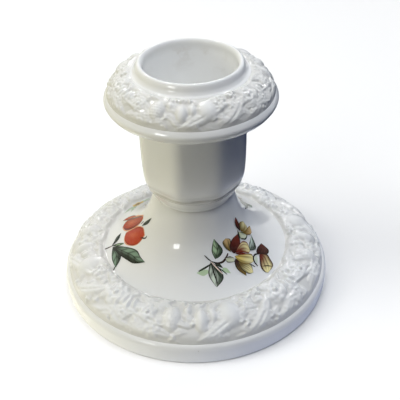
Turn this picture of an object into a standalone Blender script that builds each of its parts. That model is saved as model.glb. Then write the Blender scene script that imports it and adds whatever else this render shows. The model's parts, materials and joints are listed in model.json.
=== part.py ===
"""Low porcelain candlestick: domed foot, eight-sided candle cup and sloping drip collar.

The foot and the collar each carry a raised garland of fruit and leaves, and four printed
sprays are fired onto the glaze of the foot. Units are metres, +Z is up, and the origin is
the centre of the foot ring, on the surface that the candlestick stands on.
"""
import math

import bmesh
import bpy
from mathutils import Matrix

MM = 0.001

# Driving dimensions
FOOT_RADIUS = 49.8 * MM
FOOT_SIDE_HEIGHT = 7.1 * MM
FOOT_RING_WIDTH = 4.0 * MM
NECK_RADIUS = 14.0 * MM
NECK_TOP = 38.0 * MM
CUP_CORNER_RADIUS = 19.7 * MM
CUP_SIDES = 8
CUP_FIRST_CORNER = math.radians(28.0)
CUP_CORNER_ROUNDING = 3.2 * MM
CUP_CORNER_SEGMENTS = 3
CUP_TOP = 72.2 * MM
COLLAR_RADIUS = 29.35 * MM
MOUTH_RADIUS = 15.7 * MM
SOCKET_FLOOR_RADIUS = 12.2 * MM
SOCKET_FLOOR = 56.0 * MM
HEIGHT = 90.0 * MM
HOLLOW_RADIUS = 10.2 * MM
CUP_FLOOR_THICKNESS = 4.0 * MM
GARLAND_THICKNESS = 1.1 * MM
MOTIF_SINK = 0.6 * MM
LEAF_SLANT = math.radians(35.0)
TRANSFER_THICKNESS = 0.25 * MM
GAP = 0.3 * MM
TURN_STEPS = 40
WELD_DISTANCE = 0.01 * MM
PRISM_HALF_HEIGHT = 20.0 * MM
PRISM_MIDDLE = 25.0 * MM

# Where the cone of the foot ends and its garland begins
FOOT_GARLAND_INNER = 33.3 * MM
FOOT_GARLAND_OUTER = 47.8 * MM


def clear_scene():
    for item in list(bpy.data.objects):
        bpy.data.objects.remove(item, do_unlink=True)


def new_collection(name):
    collection = bpy.data.collections.new(name)
    bpy.context.scene.collection.children.link(collection)
    return collection


def glaze(name, colour, roughness):
    """A Principled material for one sub-part."""
    material = bpy.data.materials.new(name)
    material.use_nodes = True
    shader = material.node_tree.nodes["Principled BSDF"]
    shader.inputs["Base Color"].default_value = (*colour, 1.0)
    shader.inputs["Roughness"].default_value = roughness
    shader.inputs["Metallic"].default_value = 0.0
    material.diffuse_color = (*colour, 1.0)
    return material


def flowing_line(points, pieces=2):
    """Points of a Catmull-Rom curve through (radius, height) points."""
    line = []
    for index in range(len(points) - 1):
        before = points[max(index - 1, 0)]
        start = points[index]
        end = points[index + 1]
        after = points[min(index + 2, len(points) - 1)]
        for piece in range(pieces):
            t = piece / pieces
            line.append(tuple(
                0.5 * (2 * b + (c - a) * t + (2 * a - 5 * b + 4 * c - d) * t ** 2
                       + (3 * b - a - 3 * c + d) * t ** 3)
                for a, b, c, d in zip(before, start, end, after)))
    line.append(points[-1])
    return line


def scaled(points):
    """(radius, height) points in millimetres as metres."""
    return [(radius * MM, height * MM) for radius, height in points]


def offset_line(line, distance):
    """The line moved sideways, away from the axis and upwards."""
    moved = []
    for index, (radius, height) in enumerate(line):
        before = line[max(index - 1, 0)]
        after = line[min(index + 1, len(line) - 1)]
        run = after[0] - before[0]
        rise = after[1] - before[1]
        length = math.hypot(run, rise)
        moved.append((radius - rise / length * distance, height + run / length * distance))
    return moved


def turned(name, collection, profile, closed=True, steps=TURN_STEPS, sweep=math.tau):
    """An object turned about Z from a profile of (radius, height) points."""
    mesh = bpy.data.meshes.new(name)
    corners = [(radius, 0.0, height) for radius, height in profile]
    edges = [(index, index + 1) for index in range(len(corners) - 1)]
    if closed:
        edges.append((len(corners) - 1, 0))
    mesh.from_pydata(corners, edges, [])
    item = bpy.data.objects.new(name, mesh)
    collection.objects.link(item)
    screw = item.modifiers.new("turn", "SCREW")
    screw.axis = "Z"
    screw.angle = sweep
    screw.steps = steps
    screw.render_steps = steps
    screw.use_merge_vertices = True
    screw.merge_threshold = WELD_DISTANCE
    screw.use_smooth_shade = True
    return item


def add_cut(item, cutter, operation):
    """A Boolean of item with one cutter."""
    cut = item.modifiers.new(operation.lower(), "BOOLEAN")
    cut.operation = operation
    cut.solver = "EXACT"
    cut.object = cutter


def hide_guide(item):
    item.hide_render = True
    item.display_type = "WIRE"


def foot_cone_line():
    """Outer line of the foot from the neck's top down to the garland, as (radius, height)."""
    neck = NECK_RADIUS / MM
    top = NECK_TOP / MM
    return flowing_line(scaled([
        (neck, top), (15.6, 34.3), (16.9, 31.1), (22.0, 23.5), (29.4, 17.4),
        (FOOT_GARLAND_INNER / MM, 14.9)]), 3)


def foot_seat_line():
    """The swelling of the foot that carries its garland."""
    return flowing_line(scaled([
        (FOOT_GARLAND_INNER / MM, 14.0), (38.0, 13.3), (42.0, 12.1), (45.0, 10.0),
        (FOOT_GARLAND_OUTER / MM, 7.9)]))


def foot_hollow_line():
    """Underside of the foot, from the foot ring up to the open neck."""
    ring = (FOOT_RADIUS - FOOT_RING_WIDTH) / MM
    return flowing_line(scaled([
        (ring, 0.0), (44.2, 4.6), (39.0, 9.2), (31.0, 11.4), (23.5, 17.0),
        (16.0, 25.0), (12.0, 31.0), (HOLLOW_RADIUS / MM, NECK_TOP / MM)]))


def make_foot(parts):
    """Hollow domed foot with its neck, garland seat, straight side and foot ring."""
    side = [
        (FOOT_RADIUS - 0.7 * MM, FOOT_SIDE_HEIGHT + 0.5 * MM),
        (FOOT_RADIUS, FOOT_SIDE_HEIGHT - 0.3 * MM),
        (FOOT_RADIUS - 0.1 * MM, 3.5 * MM),
        (FOOT_RADIUS - 0.4 * MM, 0.8 * MM),
        (FOOT_RADIUS - 1.1 * MM, 0.0)]
    profile = foot_cone_line()[:-1] + foot_seat_line() + side + foot_hollow_line()
    return turned("foot", parts, profile)


def make_candle_cup(parts, guides):
    """Eight-sided cup with soft corners, a round tapered socket and a hollow below its floor."""
    corner = CUP_CORNER_RADIUS
    outline = scaled([
        (0.0, CUP_TOP / MM), (corner / MM, CUP_TOP / MM), (corner / MM, 60.0), (19.5, 54.0),
        (19.1, 48.5), (18.1, 45.2), (NECK_RADIUS / MM + 0.7, NECK_TOP / MM + 0.3),
        (0.0, NECK_TOP / MM + 0.3)])
    cup = turned("candle_cup", parts, outline, closed=False, steps=CUP_SIDES)
    cup.rotation_euler.z = CUP_FIRST_CORNER
    rounding = cup.modifiers.new("soft corners", "BEVEL")
    rounding.limit_method = "ANGLE"
    rounding.angle_limit = math.radians(35.0)
    rounding.width = CUP_CORNER_ROUNDING
    rounding.segments = CUP_CORNER_SEGMENTS

    socket_top = CUP_TOP + 2.0 * MM
    taper = (MOUTH_RADIUS - SOCKET_FLOOR_RADIUS) / (HEIGHT - SOCKET_FLOOR)
    top_radius = SOCKET_FLOOR_RADIUS + taper * (socket_top - SOCKET_FLOOR)
    socket = turned("socket_cutter", guides, [
        (0.0, socket_top), (top_radius, socket_top),
        (SOCKET_FLOOR_RADIUS, SOCKET_FLOOR), (0.0, SOCKET_FLOOR)], closed=False)
    hollow_top = SOCKET_FLOOR - CUP_FLOOR_THICKNESS
    hollow = turned("cup_hollow_cutter", guides, [
        (0.0, hollow_top), (HOLLOW_RADIUS - 1.5 * MM, hollow_top),
        (HOLLOW_RADIUS, hollow_top - 2.0 * MM), (HOLLOW_RADIUS, NECK_TOP - 1.0 * MM),
        (0.0, NECK_TOP - 1.0 * MM)], closed=False)
    for cutter in (socket, hollow):
        hide_guide(cutter)
        add_cut(cup, cutter, "DIFFERENCE")
    return cup


def collar_seat_line():
    """The slope of the collar that carries its garland."""
    return flowing_line(scaled([(19.7, 84.9), (23.5, 83.2), (27.0, 79.9), (28.5, 78.0)]))


def make_drip_collar(parts):
    """Sloping collar with a rolled mouth rim, a narrow lip and a round bore."""
    rim = flowing_line([
        (MOUTH_RADIUS, HEIGHT - 1.7 * MM), (MOUTH_RADIUS + 0.5 * MM, HEIGHT - 0.4 * MM),
        (MOUTH_RADIUS + 1.2 * MM, HEIGHT), (MOUTH_RADIUS + 2.0 * MM, HEIGHT - 0.6 * MM),
        (MOUTH_RADIUS + 2.6 * MM, HEIGHT - 2.2 * MM), (19.2 * MM, 85.9 * MM)])
    lip = flowing_line([
        (COLLAR_RADIUS - 0.4 * MM, 78.2 * MM), (COLLAR_RADIUS, 77.3 * MM),
        (COLLAR_RADIUS - 0.5 * MM, 76.0 * MM), (27.7 * MM, 74.6 * MM)])
    underside = flowing_line(scaled([(26.0, 73.8), (22.5, 72.9), (19.0, 72.5)]))
    taper = (MOUTH_RADIUS - SOCKET_FLOOR_RADIUS) / (HEIGHT - SOCKET_FLOOR)
    bore_bottom = SOCKET_FLOOR_RADIUS + taper * (CUP_TOP + GAP - SOCKET_FLOOR)
    profile = rim + collar_seat_line() + lip + underside + [(bore_bottom, CUP_TOP + GAP)]
    return turned("drip_collar", parts, profile)


def motif(name, guides, size, twist):
    """A closed ellipsoid of half-sizes size, with a flat underside, twisted about its own Z."""
    shape = bmesh.new()
    bmesh.ops.create_uvsphere(shape, u_segments=8, v_segments=5, radius=1.0)
    bmesh.ops.scale(shape, vec=size, verts=shape.verts)
    for vertex in shape.verts:
        vertex.co.z = max(vertex.co.z, -MOTIF_SINK)
    bmesh.ops.rotate(shape, matrix=Matrix.Rotation(twist, 3, "Z"), verts=shape.verts)
    mesh = bpy.data.meshes.new(name)
    shape.to_mesh(mesh)
    shape.free()
    item = bpy.data.objects.new(name, mesh)
    guides.objects.link(item)
    hide_guide(item)
    return item


def make_garland(name, parts, guides, seat, repeats, fruit_size, leaf_size):
    """A skin over the seat, with a fruit and a slanting leaf repeated around it."""
    skin = turned(name, parts, offset_line(seat, GAP), closed=False)
    thicken = skin.modifiers.new("thickness", "SOLIDIFY")
    thicken.thickness = GARLAND_THICKNESS
    thicken.offset = 1.0

    motifs = bpy.data.collections.new(name + "_motifs")
    guides.children.link(motifs)
    middle = len(seat) // 2
    run = seat[middle + 1][0] - seat[middle - 1][0]
    rise = seat[middle + 1][1] - seat[middle - 1][1]
    slope = math.atan2(-rise, run)
    lift = GAP + 0.8 * GARLAND_THICKNESS
    radius = seat[middle][0] + lift * math.sin(slope)
    height = seat[middle][1] + lift * math.cos(slope)
    for index in range(2 * repeats):
        angle = math.pi * index / repeats
        if index % 2:
            item = motif(f"{name}_fruit_{index}", motifs, fruit_size, 0.0)
        else:
            item = motif(f"{name}_leaf_{index}", motifs, leaf_size, LEAF_SLANT)
        item.location = (radius * math.cos(angle), radius * math.sin(angle), height)
        item.rotation_euler = (0.0, slope, angle)
    join = skin.modifiers.new("motifs", "BOOLEAN")
    join.operation = "UNION"
    join.solver = "EXACT"
    join.operand_type = "COLLECTION"
    join.collection = motifs
    return skin


def outline_cutter(name, guides, outline):
    """A tall prism over an outline of (azimuth in degrees, radius in millimetres) points."""
    curve = bpy.data.curves.new(name, "CURVE")
    curve.dimensions = "2D"
    curve.fill_mode = "BOTH"
    curve.extrude = PRISM_HALF_HEIGHT
    spline = curve.splines.new("POLY")
    spline.points.add(len(outline) - 1)
    for point, (azimuth, radius) in zip(spline.points, outline):
        angle = math.radians(azimuth)
        point.co = (radius * MM * math.sin(angle), -radius * MM * math.cos(angle), 0.0, 1.0)
    spline.use_cyclic_u = True
    drawn = bpy.data.objects.new(name + "_drawn", curve)
    drawn.location.z = PRISM_MIDDLE
    guides.objects.link(drawn)
    bpy.context.view_layer.update()
    mesh = bpy.data.meshes.new_from_object(drawn.evaluated_get(bpy.context.evaluated_depsgraph_get()))
    welded = bmesh.new()
    welded.from_mesh(mesh)
    bmesh.ops.remove_doubles(welded, verts=welded.verts, dist=WELD_DISTANCE)
    bmesh.ops.recalc_face_normals(welded, faces=welded.faces)
    welded.to_mesh(mesh)
    welded.free()
    prism = bpy.data.objects.new(name, mesh)
    prism.matrix_world = drawn.matrix_world
    guides.objects.link(prism)
    bpy.data.objects.remove(drawn, do_unlink=True)
    hide_guide(prism)
    return prism


def make_transfer(name, parts, guides, outline):
    """A thin printed skin that follows the cone of the foot inside an outline."""
    cone = [point for point in foot_cone_line() if 16.0 * MM < point[0]]
    first = min(azimuth for azimuth, radius in outline) - 4.0
    last = max(azimuth for azimuth, radius in outline) + 4.0
    sweep = math.radians(last - first)
    skin = turned(name, parts, offset_line(cone, GAP), closed=False,
                  steps=max(6, round((last - first) / 7.5)), sweep=sweep)
    skin.rotation_euler.z = math.radians(first - 90.0)
    thicken = skin.modifiers.new("thickness", "SOLIDIFY")
    thicken.thickness = TRANSFER_THICKNESS
    thicken.offset = 1.0
    add_cut(skin, outline_cutter(name + "_cutter", guides, outline), "INTERSECT")
    return skin


# Outlines of the printed sprays, as (azimuth in degrees from the front, radius in millimetres)
FRUIT_SPRAY = [
    (-117, 27.7), (-110, 30.8), (-99, 29.0), (-96, 31.5), (-89, 29.0), (-84, 32.4),
    (-79, 30.0), (-70, 30.8), (-63, 32.4), (-61, 29.8), (-52, 28.8), (-48, 24.4),
    (-58, 21.5), (-58, 17.9), (-72, 19.2), (-87, 19.3), (-100, 21.0), (-112, 24.0)]
BLOSSOM_SPRAY = [
    (0, 25.7), (2, 28.0), (8, 30.9), (18, 27.5), (25, 28.5), (34, 31.0), (42, 31.5),
    (50, 32.4), (62, 32.0), (76, 29.5), (71, 26.5), (76, 23.6), (86, 21.0), (70, 18.6),
    (51, 18.4), (40, 19.8), (31, 18.8), (22, 20.5), (10, 21.6), (11, 23.6)]
SMALL_FLOWER = [
    (-154, 29.0), (-148, 32.0), (-138, 32.4), (-128, 30.5), (-125, 26.5), (-134, 24.0),
    (-147, 24.5)]
LEAF_SPRIG = [
    (128, 27.5), (134, 29.5), (141, 32.4), (150, 31.5), (160, 29.5), (163, 26.0),
    (152, 24.0), (140, 23.5)]


def make_parts():
    clear_scene()
    parts = new_collection("porcelain_candlestick")
    guides = new_collection("cutters")
    made = [
        (make_foot(parts), (0.93, 0.93, 0.92), 0.08),
        (make_candle_cup(parts, guides), (0.92, 0.92, 0.92), 0.08),
        (make_drip_collar(parts), (0.93, 0.93, 0.92), 0.08),
        (make_garland("foot_garland", parts, guides, foot_seat_line(), 12,
                      (4.6 * MM, 4.6 * MM, 3.7 * MM), (2.6 * MM, 6.0 * MM, 1.9 * MM)), (0.90, 0.90, 0.89), 0.10),
        (make_garland("collar_garland", parts, guides, collar_seat_line(), 10,
                      (2.9 * MM, 2.9 * MM, 2.2 * MM), (1.8 * MM, 4.2 * MM, 1.4 * MM)), (0.90, 0.90, 0.89), 0.10),
        (make_transfer("fruit_transfer", parts, guides, FRUIT_SPRAY), (0.62, 0.09, 0.05), 0.15),
        (make_transfer("blossom_transfer", parts, guides, BLOSSOM_SPRAY), (0.72, 0.50, 0.20), 0.15),
        (make_transfer("small_flower_transfer", parts, guides, SMALL_FLOWER),
         (0.80, 0.58, 0.12), 0.15),
        (make_transfer("leaf_sprig_transfer", parts, guides, LEAF_SPRIG), (0.10, 0.22, 0.08), 0.15)]
    for item, colour, roughness in made:
        item.data.materials.append(glaze(item.name, colour, roughness))


make_parts()
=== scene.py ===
"""The finished look of the porcelain candlestick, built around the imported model.

Lengths in the shape functions are millimetres and are turned into metres when a mesh is
made. Azimuths are degrees from the front (-Y), growing towards +X.
"""
import json
import math

import bpy
import numpy as np
from mathutils import Matrix, Vector


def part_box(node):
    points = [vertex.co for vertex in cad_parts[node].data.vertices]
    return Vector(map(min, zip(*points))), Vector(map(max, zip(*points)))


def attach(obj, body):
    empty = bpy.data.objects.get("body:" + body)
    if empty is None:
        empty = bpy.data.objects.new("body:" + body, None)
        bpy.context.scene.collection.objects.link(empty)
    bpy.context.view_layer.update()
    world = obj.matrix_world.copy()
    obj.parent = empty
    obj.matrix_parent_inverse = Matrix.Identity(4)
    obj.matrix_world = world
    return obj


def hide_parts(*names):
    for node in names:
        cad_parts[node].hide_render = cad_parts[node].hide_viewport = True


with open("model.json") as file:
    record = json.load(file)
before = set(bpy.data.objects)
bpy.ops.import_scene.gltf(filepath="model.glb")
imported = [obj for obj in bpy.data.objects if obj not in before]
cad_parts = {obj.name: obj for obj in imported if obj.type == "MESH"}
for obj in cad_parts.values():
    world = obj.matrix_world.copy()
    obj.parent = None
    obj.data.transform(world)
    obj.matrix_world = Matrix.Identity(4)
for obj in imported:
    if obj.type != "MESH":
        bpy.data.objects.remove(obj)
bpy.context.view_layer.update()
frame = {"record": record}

MM = 0.001
SEED = 7
TURNS = 288
PATCH_CELLS = (36, 27)
GOLDEN_ANGLE = 2.39996
SMOOTH_ALL = math.radians(180.0)


# ---- sizes read from the frame

def box_mm(node):
    low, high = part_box(node)
    return np.array(low) / MM, np.array(high) / MM


FOOT_RADIUS = box_mm("foot")[1][0]
NECK_TOP = box_mm("foot")[1][2]
CUP_TOP = box_mm("candle_cup")[1][2]
COLLAR_RADIUS = box_mm("drip_collar")[1][0]
HEIGHT = box_mm("drip_collar")[1][2]
SEAM = 0.5 * (CUP_TOP + box_mm("drip_collar")[0][2])
MOUNTS = {mount["name"]: mount for mount in frame["record"]["mounts"]}
SOCKET_FLOOR = MOUNTS["candle_seat"]["pos_m"][2] / MM

# Shape sizes that the frame doesn't state
MOUTH_RADIUS = 15.7
SOCKET_FLOOR_RADIUS = 12.2
HOLLOW_RADIUS = 10.2
CUP_HALF_WIDTH = 18.35
CUP_SIDES = 8
CUP_FIRST_CORNER = math.radians(28.0)
CORNER_SHARPNESS = 20.0
FOOT_BAND_INNER = 33.9
FOOT_BAND_OUTER = 48.7


# ---- mesh helpers

def flowing_line(points, pieces=8):
    """Points of a Catmull-Rom curve through (radius, height) points."""
    points = np.array(points, float)
    padded = np.concatenate([points[:1], points, points[-1:]])
    before, start, end, after = (padded[first:len(points) - 1 + first, None] for first in range(4))
    t = (np.arange(pieces) / pieces)[None, :, None]
    line = 0.5 * (2 * start + (end - before) * t
                  + (2 * before - 5 * start + 4 * end - after) * t ** 2
                  + (3 * start - before - 3 * end + after) * t ** 3)
    return np.concatenate([line.reshape(-1, 2), points[-1:]])


def run_along(line):
    """Distance along a line, at each of its points."""
    return np.concatenate([[0.0], np.cumsum(np.hypot(*np.diff(line, axis=0).T))])


def grid_faces(rows, columns, wrap_rows=False, wrap_columns=False):
    """Quads over a grid of rows x columns points."""
    row = np.arange(rows if wrap_rows else rows - 1)
    column = np.arange(columns if wrap_columns else columns - 1)
    i, j = np.meshgrid(row, column, indexing="ij")
    below = (i + 1) % rows
    right = (j + 1) % columns
    quads = np.stack([i * columns + j, below * columns + j,
                      below * columns + right, i * columns + right], axis=-1)
    return quads.reshape(-1, 4)


def new_mesh_object(name, points, faces, smooth_angle=math.radians(40.0)):
    """A piece from points in millimetres."""
    mesh = bpy.data.meshes.new(name)
    mesh.from_pydata((np.asarray(points).reshape(-1, 3) * MM).tolist(), [], faces.tolist())
    mesh.shade_smooth()
    mesh.set_sharp_from_angle(angle=smooth_angle)
    mesh.update()
    item = bpy.data.objects.new(name, mesh)
    bpy.context.scene.collection.objects.link(item)
    return item


def unwrap(item, places):
    """Stores a place in the unwrapped square for every face corner."""
    layer = item.data.uv_layers.new(name="OFBake")
    layer.data.foreach_set("uv", np.ascontiguousarray(places, dtype=np.float32).reshape(-1))


def unwrap_loop(item, rows, columns, strips):
    """Unwraps a closed grid as strips that lie above each other."""
    i, j = np.meshgrid(np.arange(rows), np.arange(columns), indexing="ij")
    per_strip = columns // strips
    strip = np.minimum(j // per_strip, strips - 1)
    start = strip * per_strip
    width = per_strip + columns % strips
    margin = 0.004
    corners = []
    for down, right in ((0, 0), (1, 0), (1, 1), (0, 1)):
        u = margin + (1.0 - 2.0 * margin) * (j + right - start) / width
        v = (strip + margin * strips + (1.0 - 2.0 * margin * strips) * (i + down) / rows) / strips
        corners.append(np.stack([u, v], axis=-1))
    unwrap(item, np.stack(corners, axis=2).reshape(-1, 2))


def revolve(name, profile, radius_at=None, turns=TURNS):
    """A closed body turned from a loop of (radius, height) points.

    radius_at(radius, height, angle) may change the radius around the axis.
    """
    angle = np.arange(turns) * math.tau / turns
    radius = np.repeat(profile[:, :1], turns, axis=1)
    height = np.repeat(profile[:, 1:], turns, axis=1)
    if radius_at is not None:
        radius = radius_at(radius, height, angle[None, :])
    points = np.stack([radius * np.cos(angle), radius * np.sin(angle), height], axis=-1)
    item = new_mesh_object(name, points, grid_faces(len(profile), turns, True, True))
    unwrap_loop(item, len(profile), turns, 2)
    return item


def soft_octagon(angle):
    """Radius of an eight-sided outline with soft corners, as a share of its half width."""
    total = np.zeros_like(angle)
    for side in range(CUP_SIDES):
        middle = CUP_FIRST_CORNER + (side + 0.5) * math.tau / CUP_SIDES
        total = total + np.maximum(np.cos(angle - middle), 0.0) ** CORNER_SHARPNESS
    return total ** (-1.0 / CORNER_SHARPNESS)


def smooth_step(low, high, value):
    """0 at low, 1 at high, with soft ends; low may be the larger one."""
    t = np.clip((value - low) / (high - low), 0.0, 1.0)
    return t * t * (3.0 - 2.0 * t)


# ---- turned body

def foot_cone_points():
    """Outer line of the foot from inside the cup's base down to the garland."""
    return [(12.6, NECK_TOP + 1.6), (13.7, NECK_TOP + 0.2), (14.7, 36.2), (15.6, 34.3), (16.9, 31.1),
            (18.9, 27.3), (22.0, 23.5), (25.5, 20.2), (29.4, 17.4), (FOOT_BAND_INNER - 0.4, 15.05),
            (35.6, 14.4)]


def foot_band_points():
    """Swelling under the foot's garland."""
    return [(FOOT_BAND_INNER, 14.85), (36.5, 14.3), (39.5, 13.7), (42.5, 12.7), (45.2, 11.1),
            (47.3, 9.3), (FOOT_BAND_OUTER, 7.9)]


def foot_profile():
    """Loop around the foot's wall: outside down, foot ring, then up the hollow inside."""
    side = [(FOOT_BAND_OUTER - 0.2, 8.1), (FOOT_RADIUS - 0.4, 7.3), (FOOT_RADIUS, 6.2),
            (FOOT_RADIUS, 4.9), (FOOT_RADIUS - 0.1, 3.0), (FOOT_RADIUS - 0.25, 1.1),
            (FOOT_RADIUS - 0.7, 0.25), (FOOT_RADIUS - 1.3, 0.0)]
    hollow = [(46.2, 0.0), (45.6, 0.6), (44.5, 4.6), (39.0, 9.0), (31.0, 11.4), (23.5, 17.0),
              (16.0, 25.0), (12.0, 31.0), (HOLLOW_RADIUS, NECK_TOP)]
    under_band = [(radius - 0.25, height - 0.55) for radius, height in foot_band_points()[1:-1]]
    outside = flowing_line(foot_cone_points()[:-1] + under_band + side)
    return np.concatenate([outside, flowing_line(hollow, 6), [(11.4, NECK_TOP + 1.2)]])


def neck_ridges(radius, height, angle):
    """The cup's eight corners run on faintly into the neck and fade on the dome."""
    share = 0.30 * smooth_step(22.0, 31.0, height) * smooth_step(38.0, 34.0, height) * (radius > 12.9)
    return radius * (1.0 + share * (soft_octagon(angle) - 1.0))


def cup_profile():
    """Loop around the cup: outside down, base, hollow up, floor, then up the socket."""
    wide = CUP_HALF_WIDTH
    outside = flowing_line([
        (wide + 1.9, SEAM), (wide + 0.45, SEAM - 0.8), (wide + 0.05, SEAM - 2.4), (wide, SEAM - 6.0),
        (wide, 60.0), (wide - 0.15, 54.0), (wide - 0.4, 49.6), (wide - 0.75, 47.2), (wide - 1.2, 45.9),
        (17.0, 45.2), (16.5, 44.8), (16.55, 44.4), (16.75, 43.9), (16.4, 43.2), (16.05, 42.9),
        (16.0, 42.4), (15.5, 41.0), (14.7, 39.5), (14.2, NECK_TOP + 0.5),
        (13.2, NECK_TOP)], 7)
    hollow_top = SOCKET_FLOOR - 4.0
    inside = flowing_line([
        (HOLLOW_RADIUS, NECK_TOP), (HOLLOW_RADIUS, hollow_top - 2.0),
        (HOLLOW_RADIUS - 1.5, hollow_top), (0.02, hollow_top)], 4)
    wall = socket_radius(SEAM)
    socket = flowing_line([
        (0.02, SOCKET_FLOOR), (SOCKET_FLOOR_RADIUS - 1.4, SOCKET_FLOOR),
        (SOCKET_FLOOR_RADIUS - 0.2, SOCKET_FLOOR + 0.9), (0.5 * (SOCKET_FLOOR_RADIUS + wall), 64.0),
        (wall, SEAM)], 6)
    return np.concatenate([outside, inside, socket])


def socket_radius(height):
    """The socket's wall, which widens evenly from its floor to the mouth."""
    share = (height - SOCKET_FLOOR) / (HEIGHT - SOCKET_FLOOR)
    return SOCKET_FLOOR_RADIUS + (MOUTH_RADIUS - SOCKET_FLOOR_RADIUS) * share


def cup_shape(radius, height, angle):
    """Eight soft sides outside, round inside."""
    outside = (radius > 13.0) & (radius > socket_radius(height) + 0.8)
    facets = 1.0 - 0.85 * smooth_step(45.6, 42.0, height)
    return radius * (1.0 + outside * facets * (soft_octagon(angle) - 1.0))


def collar_band_points():
    """Slope under the collar's garland."""
    return [(19.6, 86.6), (21.6, 85.6), (24.4, 83.8), (26.7, 81.5), (28.5, 79.15)]


def collar_profile():
    """Loop around the collar: mouth rim, slope, lip, underside, then up the bore."""
    rim = [(MOUTH_RADIUS - 0.05, HEIGHT - 2.6), (MOUTH_RADIUS + 0.1, HEIGHT - 1.4),
           (MOUTH_RADIUS + 0.5, HEIGHT - 0.5), (MOUTH_RADIUS + 1.15, HEIGHT),
           (MOUTH_RADIUS + 1.85, HEIGHT - 0.3), (MOUTH_RADIUS + 2.35, HEIGHT - 1.1),
           (MOUTH_RADIUS + 2.8, HEIGHT - 2.2), (MOUTH_RADIUS + 3.5, HEIGHT - 3.1)]
    slope = [(20.0, 86.4)] + [(r - 0.3, z - 0.5) for r, z in collar_band_points()[1:-1]] + [(28.2, 79.5)]
    lip = [(COLLAR_RADIUS - 0.3, 78.35), (COLLAR_RADIUS, 77.6), (COLLAR_RADIUS - 0.05, 76.9),
           (COLLAR_RADIUS - 0.5, 76.0), (28.0, 75.0), (26.4, 74.1), (24.0, 73.3), (21.5, 72.85),
           (17.0, SEAM)]
    bore = flowing_line([(socket_radius(SEAM), SEAM), (socket_radius(82.0), 82.0), rim[0]], 8)
    return np.concatenate([bore[:-1], flowing_line(rim + slope + lip, 7)])


# ---- relief garlands

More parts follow.
